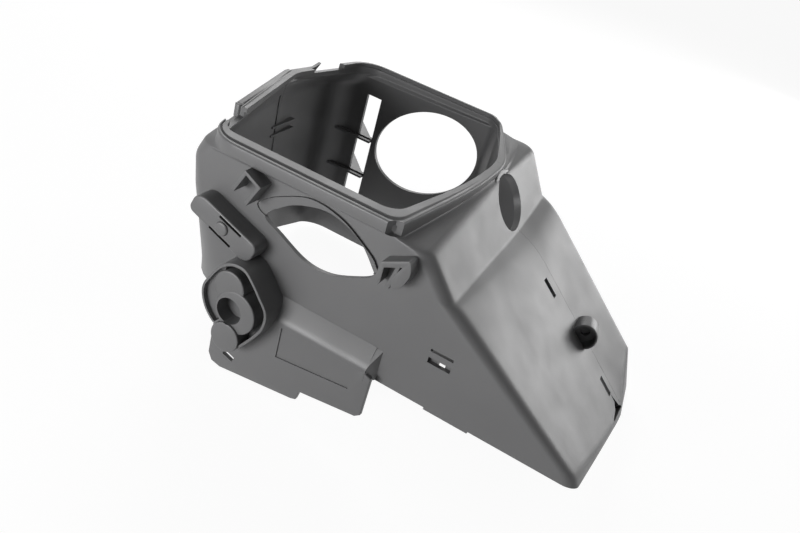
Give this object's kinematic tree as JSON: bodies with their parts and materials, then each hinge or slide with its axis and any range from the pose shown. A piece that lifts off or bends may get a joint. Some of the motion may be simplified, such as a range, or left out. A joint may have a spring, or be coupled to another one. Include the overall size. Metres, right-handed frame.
{
  "type": "cylinder cooling shroud",
  "caption": "Moulded two-piece shroud that closes round an engine cylinder and leads cooling air from an open duct end to a collar.",
  "frame": {"origin": "mouth of the fixing bore in the boss cup on the front wall", "axes": "+Z along the cylinder's axis and out through the collar, +X towards the duct's end, +Y from the front wall to the back wall"},
  "size_m": [0.241, 0.1948, 0.12],
  "materials": {
    "shell": "satin"
  },
  "bodies": {
    "root": {"front_shell": "shell", "rear_shell": "shell"}
  },
  "joints": []
}
